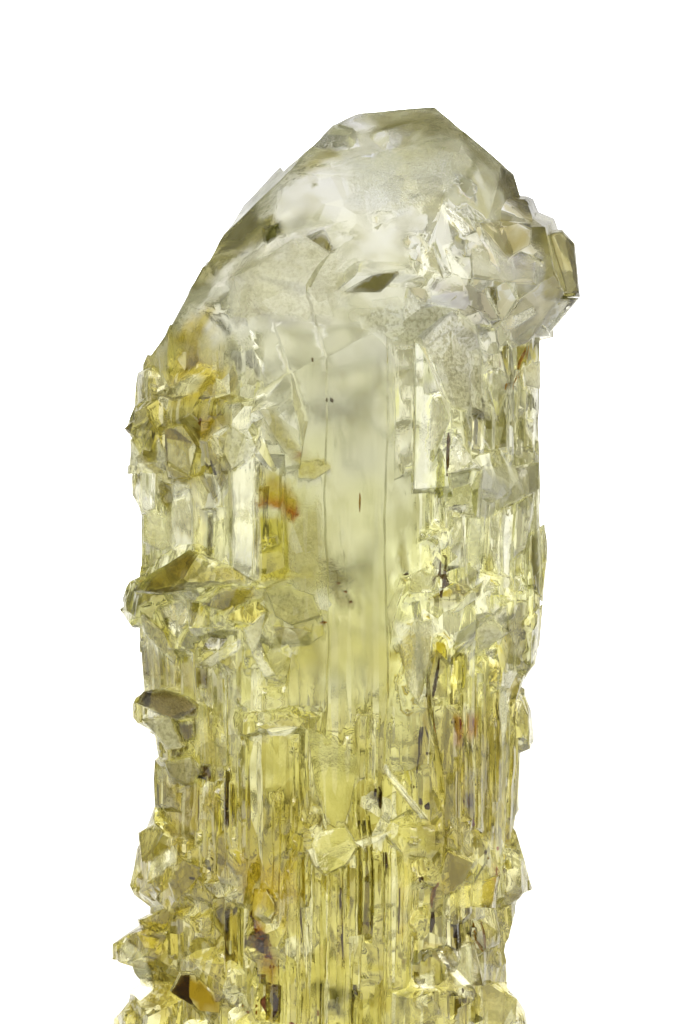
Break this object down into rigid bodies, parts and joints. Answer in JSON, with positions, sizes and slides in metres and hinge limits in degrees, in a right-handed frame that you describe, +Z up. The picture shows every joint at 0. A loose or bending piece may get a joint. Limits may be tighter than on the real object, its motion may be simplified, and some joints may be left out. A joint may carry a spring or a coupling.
{
  "type": "heliodor crystal",
  "caption": "Etched hexagonal prism of clear yellow beryl with a dissolved dome tip, hackly ledges and lumps on its flanks, and a flat cut foot.",
  "frame": {"origin": "on the flat cut foot, where the long axis of the crystal meets it", "axes": "+Z runs up the crystal from the cut foot to the tip; -Y points out of the side that the picture shows; +X points to the viewer's right"},
  "size_m": [0.0281, 0.0229, 0.0601],
  "materials": {
    "heliodor": "clear pale yellow beryl, glassy, frosted where it is etched, nearly colourless at the tip and deeper yellow towards the foot"
  },
  "bodies": {
    "root": {"heliodor_crystal": "heliodor"}
  },
  "joints": []
}
